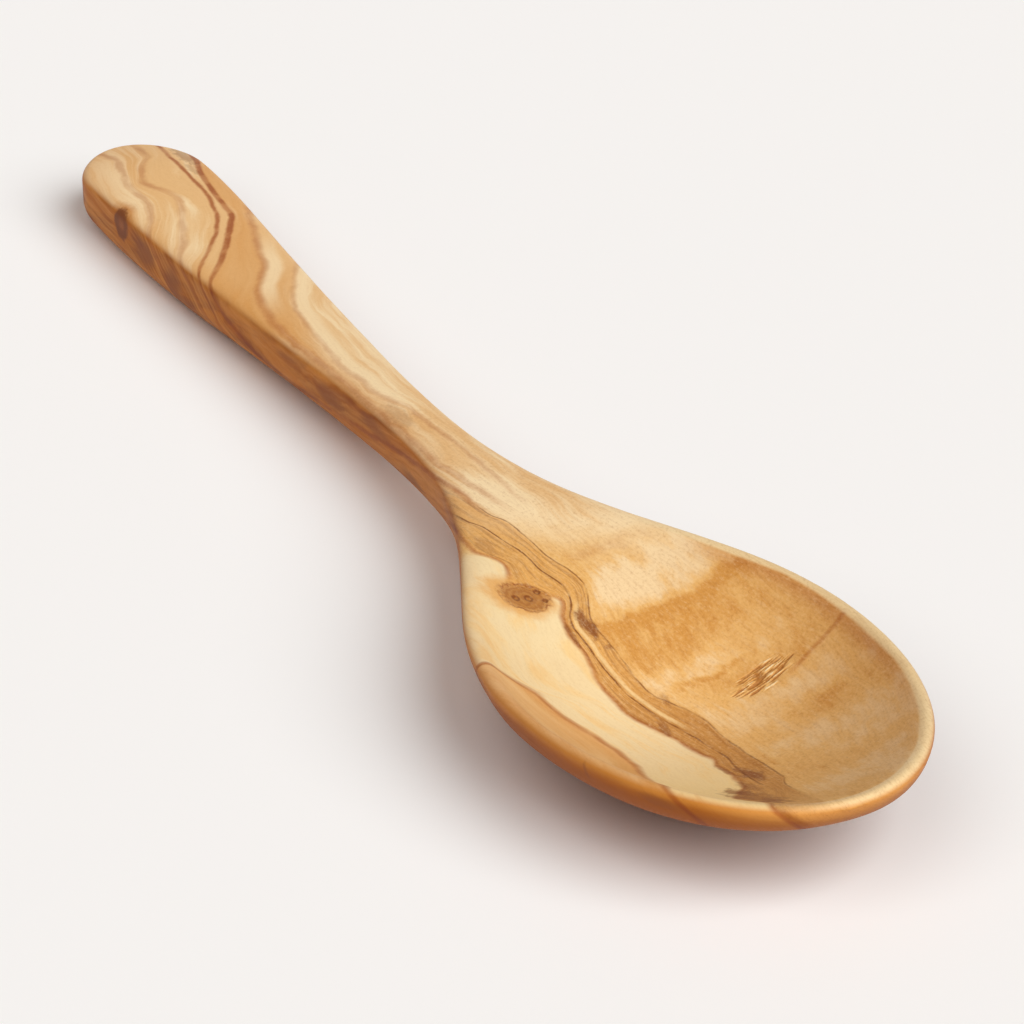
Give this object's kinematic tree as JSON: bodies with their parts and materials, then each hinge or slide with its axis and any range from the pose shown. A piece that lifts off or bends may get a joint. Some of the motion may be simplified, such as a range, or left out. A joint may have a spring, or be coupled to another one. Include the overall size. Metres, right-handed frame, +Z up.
{
  "type": "wooden spoon",
  "caption": "One-piece carved olive wood spoon: a flat handle narrows to a slim neck and flares into a broad oval bowl with a gouged hollow and a raised tip.",
  "frame": {"origin": "on the table under the middle of the spoon's length and width, as the spoon lies with its hollow up", "axes": "+X along the spoon from the handle's end to the bowl's tip, +Y across it, to the left as seen from the handle, +Z up out of the hollow"},
  "size_m": [0.2594, 0.056, 0.019],
  "materials": {
    "olive_wood": "sanded smooth and oiled, satin"
  },
  "bodies": {
    "root": {"spoon": "olive_wood"}
  },
  "joints": []
}
